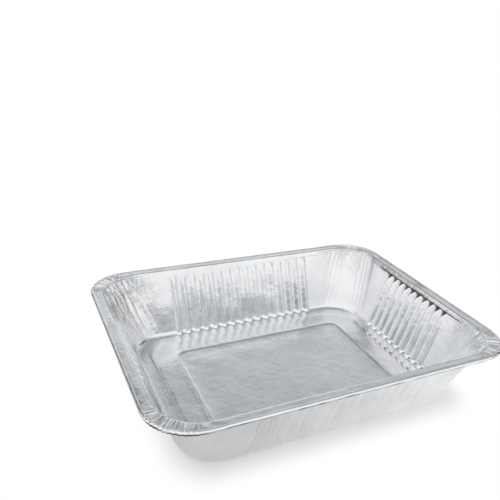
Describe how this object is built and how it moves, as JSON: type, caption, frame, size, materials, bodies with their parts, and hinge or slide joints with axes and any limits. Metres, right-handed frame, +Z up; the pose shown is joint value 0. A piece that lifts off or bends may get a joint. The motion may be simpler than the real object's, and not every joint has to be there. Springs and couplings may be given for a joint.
{
  "type": "foil roasting pan",
  "caption": "Deep rectangular foil pan with sloping fluted walls, a flat crimped flange and a rolled bead, pressed from one sheet.",
  "frame": {"origin": "middle of the resting face, on the plane that the pan stands on", "axes": "+X along the length, +Y along the width, +Z up out of the mouth"},
  "size_m": [0.324, 0.264, 0.065],
  "materials": {
    "foil": "bright foil, cold-pressed and lightly creased"
  },
  "bodies": {
    "root": {"pan": "foil"}
  },
  "joints": []
}
